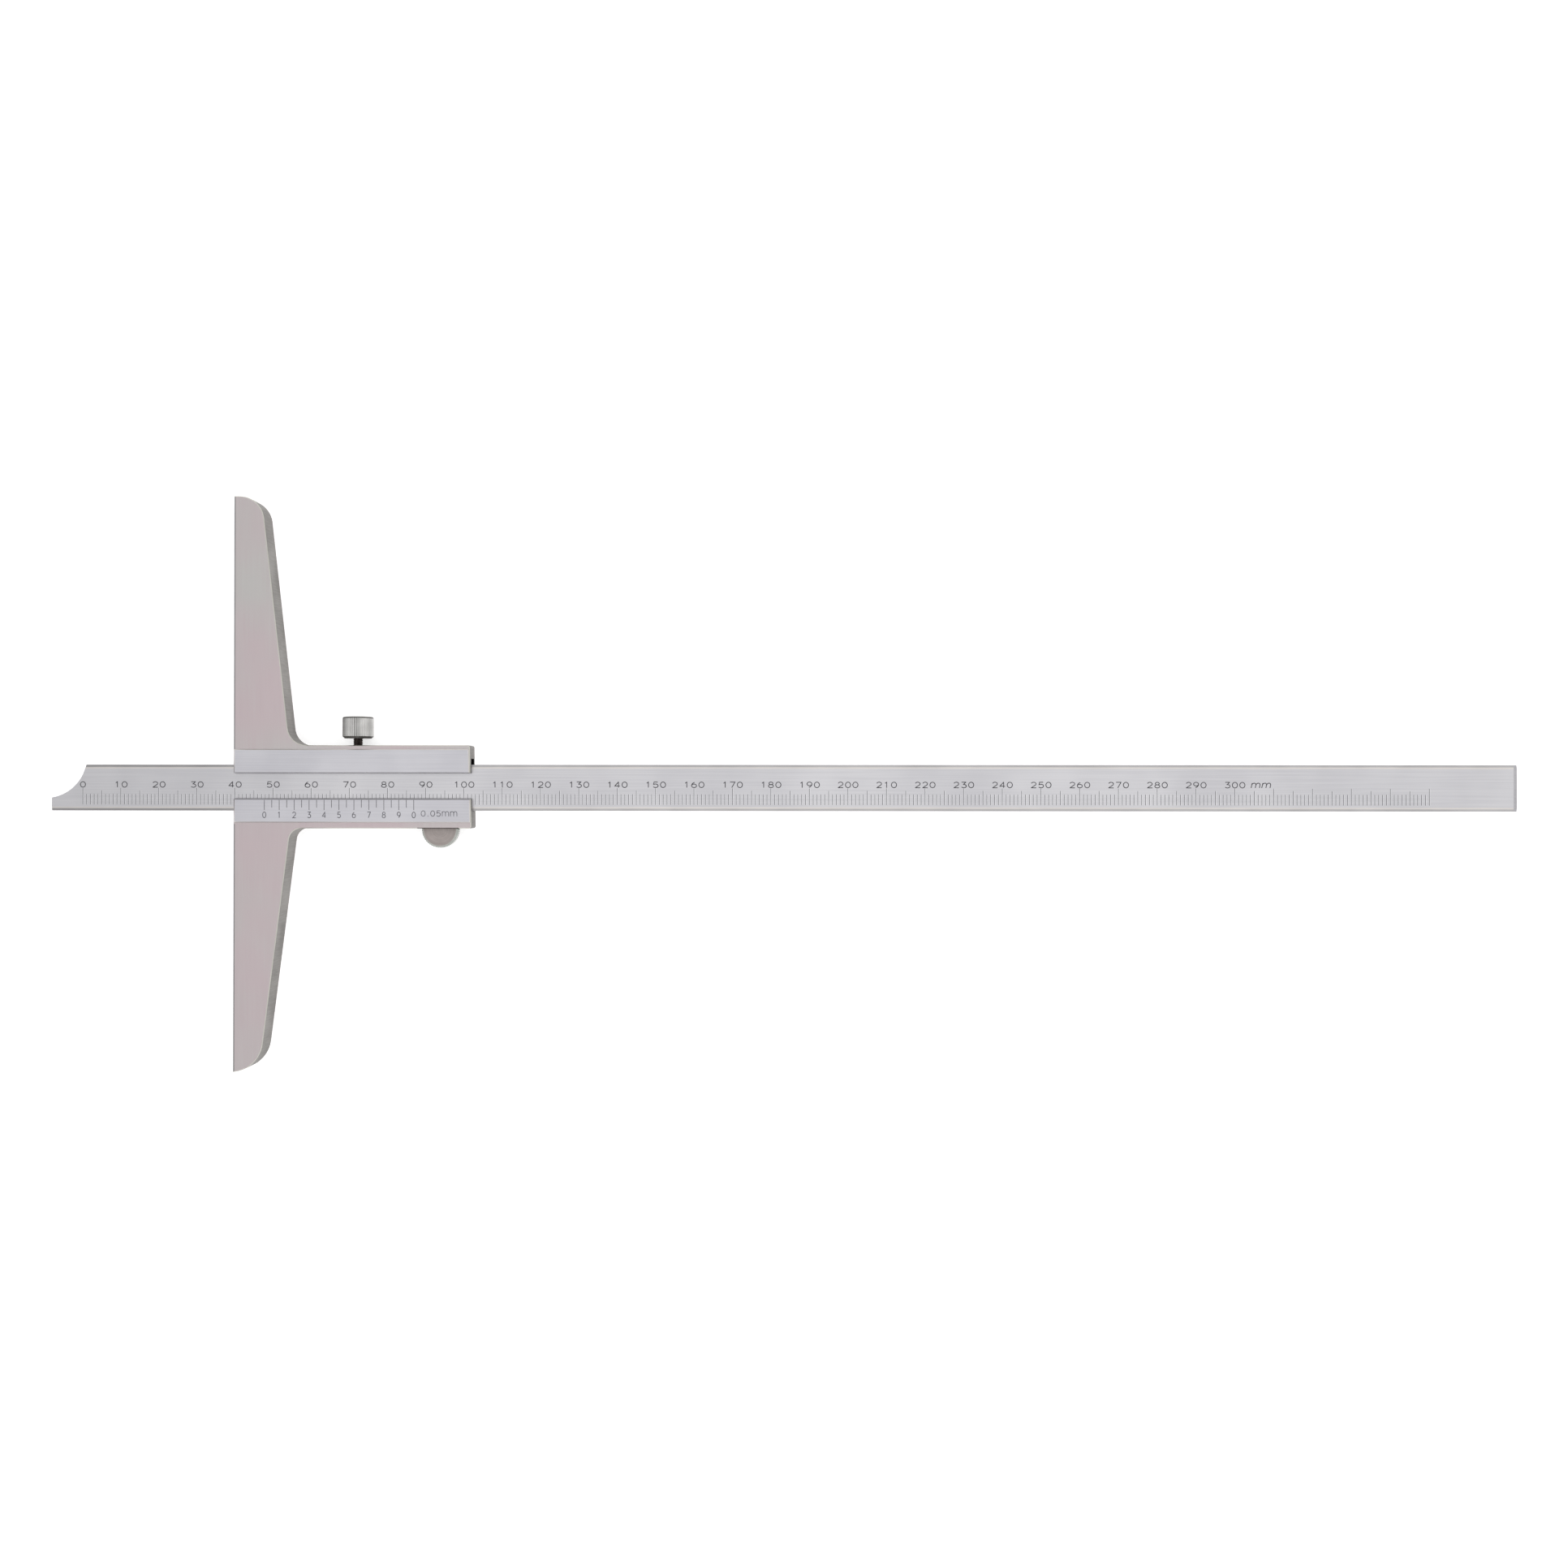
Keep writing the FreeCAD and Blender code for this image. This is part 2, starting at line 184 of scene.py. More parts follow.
@dataclass(frozen=True)
class Grain:
    """Fine marks that a belt or a cutter leaves: straight, with a run, or round a spindle."""

    along: Axis
    pitch: float
    depth: float
    run: float | None = None
    spindle: Spindle | None = None

    def draw(self, tree: bpy.types.NodeTree, place: bpy.types.NodeSocket) -> bpy.types.NodeSocket:
        """Draws the marks.

        Args:
            tree: The material's node tree.
            place: The point of the surface.

        Returns:
            A socket from 0 in a mark to 1 between marks.
        """
        if self.spindle:
            radius = self.spindle.radius(tree, place)
            level = add_node(tree, "SeparateXYZ", {}, {0: place}).outputs[self.along.value]
            place = add_node(tree, "CombineXYZ", {}, {0: radius, 1: level}).outputs[0]
            scales = [1 / self.pitch] * len(Axis)
        else:
            scales = [1 / (self.run if axis is self.along else self.pitch) for axis in Axis]
        cells = add_node(tree, "Mapping", {"Scale": scales}, {"Vector": place}).outputs[0]
        return add_node(
            tree, "TexNoise", {"Scale": 1.0, "Detail": SCRATCH_DETAIL}, {"Vector": cells}
        ).outputs[0]


@dataclass(frozen=True)
class Surface:
    """One finished face of a metal: its two tones, its polish, its scratches and its clouding."""

    light: str
    dark: str
    roughness: float
    grain: Grain
    cloud: float = 9 * MM
    clouding: float = 0.5
    roughness_spread: float = 0.06


@dataclass(frozen=True)
class Limit:
    """A place, a tilt or a radius past which a zone starts, on one side or, mirrored, on both."""

    source: Source
    axis: Axis
    value: float
    side: Side
    blend: float = PLACE_BLEND
    mirrored: bool = False
    spindle: Spindle | None = None

    def draw(self, tree: bpy.types.NodeTree) -> bpy.types.NodeSocket:
        """Draws the limit.

        Args:
            tree: The material's node tree.

        Returns:
            A socket that is 1 past the limit and 0 before it.
        """
        vector = add_node(tree, "TexCoord").outputs[self.source.value]
        if self.spindle:
            value = self.spindle.radius(tree, vector)
        else:
            value = add_node(tree, "SeparateXYZ", {}, {0: vector}).outputs[self.axis.value]
        if self.mirrored:
            value = add_node(tree, "Math", {"operation": "ABSOLUTE"}, {0: value}).outputs[0]
        low, high = (0.0, 1.0) if self.side is Side.ABOVE else (1.0, 0.0)
        return add_node(
            tree,
            "MapRange",
            {
                "From Min": self.value - self.blend / 2,
                "From Max": self.value + self.blend / 2,
                "To Min": low,
                "To Max": high,
            },
            {"Value": value},
        ).outputs[0]


def tilted(axis: Axis, value: float, side: Side, mirrored: bool = False) -> Limit:
    """Gives a limit on the way that a surface faces, blended over a few degrees."""
    return Limit(Source.TILT, axis, value, side, TILT_BLEND, mirrored)


def placed(
    axis: Axis, value: float, side: Side, mirrored: bool = False, blend: float = PLACE_BLEND
) -> Limit:
    """Gives a limit on the place of a point."""
    return Limit(Source.PLACE, axis, value, side, blend, mirrored)


@dataclass(frozen=True)
class Zone:
    """A part of a surface, inside every one of its limits, with its own finish."""

    surface: Surface
    limits: tuple[Limit, ...]

    def draw(self, tree: bpy.types.NodeTree) -> bpy.types.NodeSocket:
        """Draws where the zone holds.

        Args:
            tree: The material's node tree.

        Returns:
            A socket that is 1 inside the zone and 0 outside.
        """
        inside = self.limits[0].draw(tree)
        for limit in self.limits[1:]:
            inside = add_node(
                tree, "Math", {"operation": "MULTIPLY"}, {0: inside, 1: limit.draw(tree)}
            ).outputs[0]
        return inside


@dataclass(frozen=True)
class Metal:
    """A metal with a main finish and zones, each of which covers what is drawn before it.

    A Mix node takes two values at sockets 2 and 3 and gives their mix at output 0. It takes two
    colours at sockets 6 and 7 and gives theirs at output 2.
    """

    name: str
    surface: Surface
    zones: tuple[Zone, ...] = ()
    metallic: float = 1.0

    def material(self) -> bpy.types.Material:
        """Makes the material, or gives the one that was made before.

        Returns:
            A material with one metal shader, fed by the finish and its zones.
        """
        if self.name in bpy.data.materials:
            return bpy.data.materials[self.name]
        made = bpy.data.materials.new(self.name)
        made.use_nodes = True
        tree = made.node_tree
        tree.nodes.clear()
        colour, roughness, height = self._finish(tree, self.surface)
        for zone in self.zones:
            factor = zone.draw(tree)
            over = self._finish(tree, zone.surface)
            colour = add_node(
                tree, "Mix", {"data_type": "RGBA"}, {0: factor, 6: colour, 7: over[0]}
            ).outputs[2]
            roughness = add_node(tree, "Mix", {}, {0: factor, 2: roughness, 3: over[1]}).outputs[0]
            height = add_node(tree, "Mix", {}, {0: factor, 2: height, 3: over[2]}).outputs[0]
        bump = add_node(tree, "Bump", {"Strength": 1.0, "Distance": 1.0}, {"Height": height})
        shader = add_node(
            tree,
            "BsdfPrincipled",
            {"Metallic": self.metallic},
            {"Base Color": colour, "Roughness": roughness, "Normal": bump.outputs[0]},
        )
        add_node(tree, "OutputMaterial", {}, {"Surface": shader.outputs[0]})
        return made

    def _finish(
        self, tree: bpy.types.NodeTree, surface: Surface
    ) -> tuple[bpy.types.NodeSocket, bpy.types.NodeSocket, bpy.types.NodeSocket]:
        """Draws one finish.

        Args:
            tree: The material's node tree.
            surface: The finish.

        Returns:
            The sockets of its colour, its roughness and its height in metres.
        """
        place = add_node(tree, "TexCoord").outputs["Object"]
        scratches = surface.grain.draw(tree, place)
        clouds = add_node(
            tree,
            "TexNoise",
            {"Scale": 1 / surface.cloud, "Detail": CLOUD_DETAIL},
            {"Vector": place},
        ).outputs[0]
        tone = add_node(
            tree, "Mix", {"Factor": surface.clouding}, {2: scratches, 3: clouds}
        ).outputs[0]
        least, most = NOISE_SPAN
        spread = add_node(
            tree,
            "MapRange",
            {"interpolation_type": "SMOOTHSTEP", "From Min": least, "From Max": most},
            {"Value": tone},
        ).outputs[0]
        colour = add_node(
            tree,
            "Mix",
            {"data_type": "RGBA", 6: linear(surface.dark), 7: linear(surface.light)},
            {0: spread},
        ).outputs[2]
        roughness = add_node(
            tree,
            "MapRange",
            {
                "To Min": surface.roughness - surface.roughness_spread,
                "To Max": surface.roughness + surface.roughness_spread,
            },
            {"Value": scratches},
        ).outputs[0]
        height = add_node(
            tree, "MapRange", {"To Max": surface.grain.depth}, {"Value": scratches}
        ).outputs[0]
        return colour, roughness, height


# The marks of grinding, filing and drawing are some 0.02 to 0.05 mm apart on the real metal. That
# is too fine to show, so each pitch below is drawn as coarse as it needs to show.

# Satin-ground hardened stainless steel: fine scratches along the scale keep the light off the
# lines, so the pad reads as an even cool grey.
SATIN_PAD = Surface(
    light="D2D1D6",
    dark="C3C2C8",
    roughness=0.42,
    grain=Grain(Axis.X, pitch=0.35 * MM, run=30 * MM, depth=0.0012 * MM),
    cloud=14 * MM,
)
# The beam has the same grind, a touch warmer than the pad from years of wiping.
SATIN_BEAM = Surface(
    light="D3D2D5",
    dark="C3C2C6",
    roughness=0.4,
    grain=Grain(Axis.X, pitch=0.35 * MM, run=30 * MM, depth=0.0012 * MM),
    cloud=18 * MM,
)
# Painted highlight: pale lines on the bevels just inside the gauge's edges, for the light they
# catch.
BEVEL_HIGHLIGHT = Surface(
    light="E6E1DD",
    dark="D9D5D3",
    roughness=0.36,
    grain=Grain(Axis.X, pitch=0.2 * MM, run=20 * MM, depth=0.0006 * MM),
)
# The beam's long edges are dressed by hand, duller than the face; their darker tone is painted
# shade.
SHADED_DRESSED_EDGE = Surface(
    light="D0CECF",
    dark="BCBABB",
    roughness=0.5,
    grain=Grain(Axis.X, pitch=0.3 * MM, run=12 * MM, depth=0.002 * MM),
)
# Painted shade: near the measuring tip the same edges are painted darker still.
TIP_SHADED_EDGE = Surface(
    light="B8B6B7",
    dark="A3A1A2",
    roughness=0.5,
    grain=Grain(Axis.X, pitch=0.3 * MM, run=12 * MM, depth=0.002 * MM),
)
# Surface-ground stainless steel: drawn along the bridge and softly clouded, from a rosy grey
# where the wheel ran hot to a plain one.
GROUND_FACE = Surface(
    light="CBBDC0",
    dark="C6C4C2",
    roughness=0.46,
    grain=Grain(Axis.Y, pitch=0.4 * MM, run=16 * MM, depth=0.0015 * MM),
    cloud=26 * MM,
    clouding=0.85,
)
# Milled flanks: short cutter marks across the thickness, dull. Their much darker tone is painted
# shade.
SHADED_MILLED_FLANK = Surface(
    light="989592",
    dark="787572",
    roughness=0.55,
    grain=Grain(Axis.Z, pitch=0.35 * MM, run=6 * MM, depth=0.003 * MM),
    cloud=11 * MM,
    clouding=0.6,
)
# Painted shade: a narrow grey line down each leg's measuring edge, on the chamfer facing away from
# the light.
LEFT_EDGE_SHADE = Surface(
    light="A3A1A2",
    dark="939192",
    roughness=0.5,
    grain=Grain(Axis.Y, pitch=0.2 * MM, run=10 * MM, depth=0.001 * MM),
)
# Painted highlight: a pale line on the chamfers that face up, down or right, where they catch the
# light.
CHAMFER_HIGHLIGHT = Surface(
    light="D9D7CE",
    dark="CBC9C2",
    roughness=0.3,
    grain=Grain(Axis.Y, pitch=0.2 * MM, run=8 * MM, depth=0.0005 * MM),
)
# Filed faces: the walls of the window over the scale and the beam's rear end. The steel is pale,
# but a wall faces the horizon, so it reads as a middle grey line.
FILED_WALL = Surface(
    light="D8D7DA",
    dark="C8C7CA",
    roughness=0.7,
    grain=Grain(Axis.X, pitch=0.2 * MM, run=10 * MM, depth=0.001 * MM),
)
# Painted shade: the inside of the sawn slot for the gib, nearly black for the shadow in the
# hollow.
SHADED_SLOT = Surface(
    light="1C1B1A",
    dark="100F0F",
    roughness=0.5,
    grain=Grain(Axis.X, pitch=0.3 * MM, run=3 * MM, depth=0.002 * MM),
)
# Painted shadow: the lip's downward face over the wheel, dark for the shadow that falls on the
# wheel.
LIP_SHADOW = Surface(
    light="5A524E",
    dark="3C3633",
    roughness=0.45,
    grain=Grain(Axis.Z, pitch=0.3 * MM, run=3 * MM, depth=0.002 * MM),
    cloud=2 * MM,
)
# The lapped measuring face: smooth and bright, with hardly a line left in it.
LAPPED_FACE = Surface(
    light="C3C3C6",
    dark="B9B9BC",
    roughness=0.22,
    grain=Grain(Axis.Y, pitch=0.3 * MM, run=5 * MM, depth=0.0002 * MM),
    roughness_spread=0.03,
)
CLAMP_SPINDLE = spindle_of("clamp_stud", Axis.Y)
WHEEL_SPINDLE = spindle_of("roller_axle", Axis.Z)
# Stainless steel bar, turned in a lathe and knurled: pale crests, fine rings round the bar.
TURNED_BAR = Surface(
    light="DAD9D7",
    dark="C4C3C1",
    roughness=0.45,
    grain=Grain(Axis.Y, pitch=0.22 * MM, depth=0.002 * MM, spindle=CLAMP_SPINDLE),
    cloud=2.5 * MM,
)
# Painted shade: a dark line rings each end of the knurl, on the chamfers turned away from the
# light.
SHADED_CHAMFER = Surface(
    light="8E8C8A",
    dark="6C6A68",
    roughness=0.5,
    grain=Grain(Axis.Y, pitch=0.22 * MM, depth=0.002 * MM, spindle=CLAMP_SPINDLE),
    cloud=1.5 * MM,
)
# Hardened steel wheel, turned and worn by the thumb: a brownish grey with fine rings.
WORN_DISC = Surface(
    light="AFA6A3",
    dark="99918E",
    roughness=0.42,
    grain=Grain(Axis.Z, pitch=0.3 * MM, depth=0.002 * MM, spindle=WHEEL_SPINDLE),
    cloud=2.5 * MM,
)
# Painted highlight: the wheel's rim, its knurl and the ring inside it, pale for the light on its
# chamfer.
RIM_HIGHLIGHT = Surface(
    light="C0C2BD",
    dark="AAADA8",
    roughness=0.38,
    grain=Grain(Axis.Z, pitch=0.25 * MM, run=2 * MM, depth=0.002 * MM),
    cloud=0.8 * MM,
    clouding=0.7,
)
# Oil-blackened carbon steel: a dark brown grey with a soft sheen, paler where it rubs.
BLACKENED = Surface(
    light="776E6B",
    dark="4C4543",
    roughness=0.42,
    grain=Grain(Axis.Y, pitch=0.2 * MM, run=0.8 * MM, depth=0.002 * MM),
    cloud=1.2 * MM,
)
# Cold-rolled spring steel, tempered to a blue grey and left with its rolling lines.
TEMPERED = Surface(
    light="85868C",
    dark="6A6B73",
    roughness=0.34,
    grain=Grain(Axis.X, pitch=0.25 * MM, run=9 * MM, depth=0.001 * MM),
    cloud=3 * MM,
)
# Drawn phosphor bronze strip: a warm brown gold with long drawing lines.
DRAWN_BRONZE = Surface(
    light="C39A62",
    dark="A47C48",
    roughness=0.36,
    grain=Grain(Axis.X, pitch=0.25 * MM, run=12 * MM, depth=0.0015 * MM),
    cloud=4 * MM,
)
# Etched and blackened lines: dark and matt, with the metal's grey where the black is thin.
ETCHED_LINE = Surface(
    light="66656A",
    dark="4A494D",
    roughness=0.6,
    grain=Grain(Axis.X, pitch=0.1 * MM, run=0.5 * MM, depth=0.0005 * MM),
    cloud=2 * MM,
)
# The vernier is etched less deeply, so its marks are a lighter grey.
SHALLOW_ETCH = Surface(
    light="85848A",
    dark="65646A",
    roughness=0.6,
    grain=Grain(Axis.X, pitch=0.1 * MM, run=0.5 * MM, depth=0.0003 * MM),
    cloud=2 * MM,
)
# Painted highlight: a bright strip beside each line, for the glint of an engraved line's lit
# flank.
PAINTED_TICK_GLINT = Surface(
    light="F0F0F2",
    dark="E2E2E5",
    roughness=0.3,
    grain=Grain(Axis.Y, pitch=0.1 * MM, run=1 * MM, depth=0.0002 * MM),
)


@dataclass(frozen=True)
class Arc:
    """A stretch of an ellipse in a character, in shares of its cell and in degrees."""

    x: float
    y: float
    across: float
    up: float
    start: float
    end: float

    def points(self, step: float) -> Iterator[Point]:
        """Gives points along the arc.

        Args:
            step: The most degrees from point to point.

        Yields:
            Places in shares of the cell, both ends included.
        """
        count = max(1, math.ceil(abs(self.end - self.start) / step))
        for i in range(count + 1):
            turn = math.radians(self.start + (self.end - self.start) * i / count)
            yield self.x + self.across * math.cos(turn), self.y + self.up * math.sin(turn)


@dataclass(frozen=True)
class Stroke:
    """One move of the engraving cutter: straight to each point and round each arc."""

    path: tuple[Point | Arc, ...]
    closed: bool = False

    def points(self, step: float) -> list[Point]:
        """Gives the points of the move.

        Args:
            step: The most degrees from point to point on an arc.

        Returns:
            Places in shares of the cell. A closed move doesn't repeat its first point.
        """
        found: list[Point] = []
        for piece in self.path:
            found.extend(piece.points(step) if isinstance(piece, Arc) else [piece])
        return found[:-1] if self.closed else found


def ring(x: float, y: float, across: float, up: float) -> Stroke:
    """Gives a closed ellipse, from its top round, in shares of a character's cell."""
    top, full_turn = 90, 360
    return Stroke((Arc(x, y, across, up, top, top + full_turn),), closed=True)


CHARACTER_SHARES: dict[str, tuple[Stroke, ...]] = {
    "0": (ring(0.5, 0.5, 0.5, 0.5),),
    "1": (Stroke(((0.2, 0.78), (0.52, 1.0), (0.52, 0.0))),),
    "2": (Stroke((Arc(0.5, 0.7, 0.46, 0.3, 165, -42), (0.03, 0.0), (1.0, 0.0))),),
    "3": (Stroke(((0.08, 1.0), (0.92, 1.0), (0.42, 0.6), Arc(0.5, 0.3, 0.5, 0.3, 90, -150))),),
    "4": (Stroke(((0.74, 0.0), (0.74, 1.0), (0.0, 0.28), (1.0, 0.28))),),
    "5": (Stroke(((0.92, 1.0), (0.2, 1.0), (0.1, 0.55), Arc(0.48, 0.32, 0.5, 0.32, 125, -150))),),
    "6": (ring(0.5, 0.32, 0.48, 0.32), Stroke((Arc(0.95, 0.34, 0.93, 0.66, 180, 112),))),
    "7": (Stroke(((0.02, 1.0), (0.98, 1.0), (0.36, 0.0))),),
    "8": (ring(0.5, 0.77, 0.38, 0.23), ring(0.5, 0.28, 0.48, 0.28)),
    "9": (ring(0.5, 0.68, 0.48, 0.32), Stroke((Arc(0.05, 0.66, 0.93, 0.66, 0, -68),))),
    ".": (Stroke(((0.4, 0.04), (0.6, 0.04))),),
    "m": (
        Stroke(((-0.3, 0.0), (-0.3, 0.86))),
        Stroke((Arc(0.1, 0.5, 0.4, 0.36, 180, 0), (0.5, 0.0))),
        Stroke((Arc(0.9, 0.5, 0.4, 0.36, 180, 0), (1.3, 0.0))),
    ),
}
ADVANCE_SHARES: dict[str, float] = {"m": 1.43, ".": 0.65}


def cut_corners(
    points: Sequence[Point], reach: float, sharpest: float = math.radians(50)
) -> Iterator[list[Point]]:
    """Cuts a path at its sharp corners, where a strip would fold over itself.

    Args:
        points: The path.
        reach: How far each side runs on past a square corner, which fills it.
        sharpest: The most that a corner turns before it is cut, in radians.

    Yields:
        The stretches of the path, each with blunt corners only.
    """
    piece = [points[0]]
    for before, here, after in zip(points, points[1:], points[2:]):
        way_in = Vector(here) - Vector(before)
        way_out = Vector(after) - Vector(here)
        turn = way_in.angle(way_out)
        if turn > sharpest:
            past = reach * math.sin(turn)
            yield [*piece, tuple(Vector(here) + way_in.normalized() * past)]
            piece = [tuple(Vector(here) - way_out.normalized() * past)]
        else:
            piece.append(here)
    yield [*piece, points[-1]]


@dataclass(frozen=True)
class Lettering:
    """The size of engraved characters, measured on the middle of the cutter's line."""

    width: float
    height: float
    pitch: float
    line: float
    slant: float = 0.0
    step: float = 20.0
    lift: float = 0.002 * MM


class Inlay:
    """Thin closed strips that lie in a flat front face, for etched and blackened marks."""

    def __init__(self, face: float, proud: float = 0.012 * MM, sunk: float = 0.03 * MM) -> None:
        """Starts with no strip.

        Args:
            face: The height of the face.
            proud: How far the marks stand above it, less than a hair.
            sunk: How far they reach into it.
        """
        self.high = face + proud
        self.low = face - sunk
        self.vertices: list[tuple[float, float, float]] = []
        self.faces: list[tuple[int, ...]] = []

    def strip(
        self, points: Sequence[Point], width: float, closed: bool = False, lift: float = 0.0
    ) -> None:
        """Adds a strip along a path, with mitred corners.

        Args:
            points: The middle of the strip, in metres.
            width: Its width.
            closed: Whether it runs back to its first point.
            lift: How far it lies over the strips that it crosses.
        """
        count = len(points)
        first = len(self.vertices)
        corners = 4
        least_cosine = 0.4
        for i, point in enumerate(points):
            here = Vector(point)
            before = here - Vector(points[i - 1]) if closed or i else None
            after = Vector(points[(i + 1) % count]) - here if closed or i + 1 < count else None
            way_in = (before or after).normalized()
            way_out = (after or before).normalized()
            middle = (way_in + way_out).normalized()
            reach = width / 2 / max(least_cosine, middle.dot(way_out))
            side = Vector((-middle.y, middle.x)) * reach
            for place in (here + side, here - side):
                self.vertices.append((place.x, place.y, self.high + lift))
                self.vertices.append((place.x, place.y, self.low + lift))
        for i in range(count if closed else count - 1):
            a = first + corners * i
            b = first + corners * ((i + 1) % count)
            self.faces.append((a, a + 2, b + 2, b))
            self.faces.append((a + 1, b + 1, b + 3, a + 3))
            self.faces.append((a, b, b + 1, a + 1))
            self.faces.append((a + 2, a + 3, b + 3, b + 2))
        if not closed:
            a = first
            b = first + corners * (count - 1)
            self.faces.append((a, a + 1, a + 3, a + 2))
            self.faces.append((b, b + 2, b + 3, b + 1))

    def text(self, words: str, middle: float, foot: float, style: Lettering) -> None:
        """Adds a line of characters.

        Args:
            words: The characters, each one of CHARACTER_SHARES or a space.
            middle: The X of the middle of the line.
            foot: The Y of the characters' feet.
            style: Their size.
        """
        advances = [ADVANCE_SHARES.get(character, 1.0) * style.pitch for character in words]
        for i, character in enumerate(words):
            centre = middle - sum(advances) / 2 + sum(advances[:i]) + advances[i] / 2
            layer = 0
            for stroke in CHARACTER_SHARES.get(character, ()):
                path = [
                    (
                        centre + (x - 0.5) * style.width + y * style.height * style.slant,
                        foot + style.line / 2 + y * (style.height - style.line),
                    )
                    for x, y in stroke.points(style.step)
                ]
                for piece in [path] if stroke.closed else cut_corners(path, style.line / 2):
                    self.strip(piece, style.line, stroke.closed, layer * style.lift)
                    layer += 1

    def build(self, name: str) -> bpy.types.Object:
        """Makes the object.

        Args:
            name: The piece's name.

        Returns:
            A mesh of closed strips, in the scene.
        """
        return make_object(name, self.vertices, self.faces)


def make_object(
    name: str,
    vertices: Sequence[tuple[float, float, float]],
    faces: Sequence[tuple[int, ...]],
) -> bpy.types.Object:
    """Makes a mesh object in the scene.

    Args:
        name: The object's name.
        vertices: The places of its points.
        faces: The points of each face.

    Returns:
        The object, at the origin.
    """
    mesh = bpy.data.meshes.new(name)
    mesh.from_pydata(vertices, [], faces)
    mesh.update()
    made = bpy.data.objects.new(name, mesh)
    bpy.context.scene.collection.objects.link(made)
    return made


def dress(node: str, metal: Metal) -> None:
    """Gives a node of the model its material.

    Args:
        node: The node's name.
        metal: What it is made of.
    """
    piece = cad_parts[node]
    piece.data.materials.clear()
    piece.data.materials.append(metal.material())
    LOG.info("%s is dressed in %s", node, metal.name)


def place_piece(piece: bpy.types.Object, metal: Metal, body: str) -> None:
    """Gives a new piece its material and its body.

    Args:
        piece: The piece.
        metal: What it is made of.
        body: The body that it moves with.
    """
    piece.data.materials.append(metal.material())
    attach(piece, body)
    LOG.info("%s rides on %s", piece.name, body)


ETCHED = Metal("etched_black_line", ETCHED_LINE, metallic=0.6)
SHALLOW = Metal("shallow_etched_line", SHALLOW_ETCH, metallic=0.6)
TICK_GLINT = Metal("painted_tick_glint", PAINTED_TICK_GLINT)
BLACK_STEEL = Metal("oil_blackened_steel", BLACKENED)
SPRING_STEEL = Metal("tempered_spring_steel", TEMPERED)
BRONZE = Metal("drawn_phosphor_bronze", DRAWN_BRONZE)


@dataclass
class Beam:
    """The ruled beam, with its millimetre scale and its numerals."""

    zero_from_tip: float = 8.2 * MM
    division: float = 1.0 * MM
    divisions: int = 350
    longer_every: tuple[int, int] = (5, 10)
    numbered: int = 300
    numbered_every: int = 10
    foot: float = 1.58 * MM
    lengths: tuple[float, float, float] = (2.75 * MM, 3.69 * MM, 4.32 * MM)
    line: float = 0.13 * MM
    burr: float = 0.1 * MM
    numeral_foot: float = 5.98 * MM
    numerals: Lettering = Lettering(1.33 * MM, 1.66 * MM, 1.92 * MM, 0.21 * MM)
    unit: Lettering = Lettering(1.33 * MM, 1.66 * MM, 1.92 * MM, 0.21 * MM, slant=0.2)
    unit_from_tick: float = 6.6 * MM
    bevel: float = 1.0 * MM
    edge_band: float = 0.6 * MM
    end_band: float = 0.8 * MM
    handled: float = 50 * MM
    handled_fade: float = 20 * MM

    def build(self) -> None:
        """Dresses the beam and adds its marks."""
        low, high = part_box("beam")
        half = (high.y - low.y) / 2
        bevel = half - self.bevel
        edge = half - self.edge_band
        rear = high.x - self.end_band
        along = placed(Axis.Y, edge, Side.ABOVE, mirrored=True, blend=self.edge_band / 2)
        near_tip = placed(Axis.X, low.x + self.handled, Side.BELOW, blend=self.handled_fade)
        zones = (
            # Painted highlight: pale bevels along both long edges.
            Zone(BEVEL_HIGHLIGHT, (placed(Axis.Y, bevel, Side.ABOVE, mirrored=True),)),
            # Painted shade: a darker band along both long edges.
            Zone(SHADED_DRESSED_EDGE, (along,)),
            # Painted shade: the edge band is darker still near the measuring tip.
            Zone(TIP_SHADED_EDGE, (along, near_tip)),
            Zone(FILED_WALL, (placed(Axis.X, rear, Side.ABOVE),)),
        )
        dress("beam", Metal("satin_ground_stainless_steel", SATIN_BEAM, zones))
        self.graduations(low, high)
        self.figures(low, high)

    def graduations(self, low: Vector, high: Vector) -> None:
        """Adds the scale's lines, each with a painted highlight strip beside it.

        Args:
            low: The beam's lowest corner.
            high: Its highest corner.
        """
        lines = Inlay(high.z)
        glints = Inlay(high.z)
        zero = low.x + self.zero_from_tip
        foot = low.y + self.foot
        aside = (self.line + self.burr) / 2
        for i in range(self.divisions + 1):
            x = zero + i * self.division
            rank = sum(i % every == 0 for every in self.longer_every)
            top = foot + self.lengths[rank]
            lines.strip([(x, foot), (x, top)], self.line)
            # Painted highlight: a bright strip just right of each line.
            glints.strip([(x + aside, foot), (x + aside, top)], self.burr)
        place_piece(lines.build("beam_graduations"), ETCHED, "beam")
        place_piece(glints.build("beam_graduation_glints"), TICK_GLINT, "beam")

    def figures(self, low: Vector, high: Vector) -> None:
        """Adds the numerals and the unit.

        Args:
            low: The beam's lowest corner.
            high: Its highest corner.
        """
        figures = Inlay(high.z)
        zero = low.x + self.zero_from_tip
        foot = low.y + self.numeral_foot
        for value in range(0, self.numbered + 1, self.numbered_every):
            figures.text(str(value), zero + value * self.division, foot, self.numerals)
        end = zero + self.numbered * self.division
        figures.text("mm", end + self.unit_from_tick, foot, self.unit)
        place_piece(figures.build("beam_numerals"), ETCHED, "beam")


